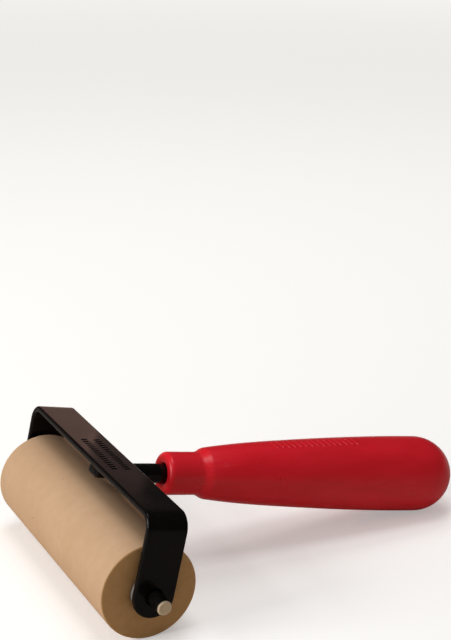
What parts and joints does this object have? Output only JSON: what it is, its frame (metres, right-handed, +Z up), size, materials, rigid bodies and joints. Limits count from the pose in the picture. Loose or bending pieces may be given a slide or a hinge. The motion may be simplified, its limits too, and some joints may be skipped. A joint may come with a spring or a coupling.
{
  "type": "printmaking brayer",
  "caption": "Hand roller for inking a block: a soft rubber roller turning on a steel axle in a bent strap yoke, with a round rod and a tapered moulded handle.",
  "frame": {"origin": "on the table, under the middle of the length; the roller and the domed end of the handle both stand on Z = 0", "axes": "+X from the roller towards the handle, Y along the roller's axle, +Z up"},
  "size_m": [0.1478, 0.1112, 0.0409],
  "materials": {
    "black_enamel": "gloss black baked enamel on steel",
    "red_plastic": "satin moulded red plastic",
    "blackened_steel": "blackened steel pin with bright end faces",
    "washer_steel": "stamped washer",
    "tan_rubber": "ground natural tan rubber, matte",
    "core_metal": "drawn tube",
    "bush_nylon": "natural nylon"
  },
  "bodies": {
    "frame": {"yoke": "black_enamel", "axle": "blackened_steel", "handle_rod": "black_enamel", "tang_weld": "black_enamel", "handle": "red_plastic"},
    "washers": {"thrust_washer_near": "washer_steel", "thrust_washer_far": "washer_steel"},
    "roller": {"rubber_sleeve": "tan_rubber", "core_tube": "core_metal", "bush_near": "bush_nylon", "bush_far": "bush_nylon"}
  },
  "joints": [
    {"name": "roller_float", "type": "slide", "parent": "frame", "child": "washers", "axis": [0, 1, 0], "range_m": [-0.00035, 0.00035]},
    {"name": "roller_spin", "type": "hinge", "parent": "washers", "child": "roller", "pos_m": [-0.05881, 0, 0.0151], "axis": [0, 1, 0], "continuous": true}
  ]
}
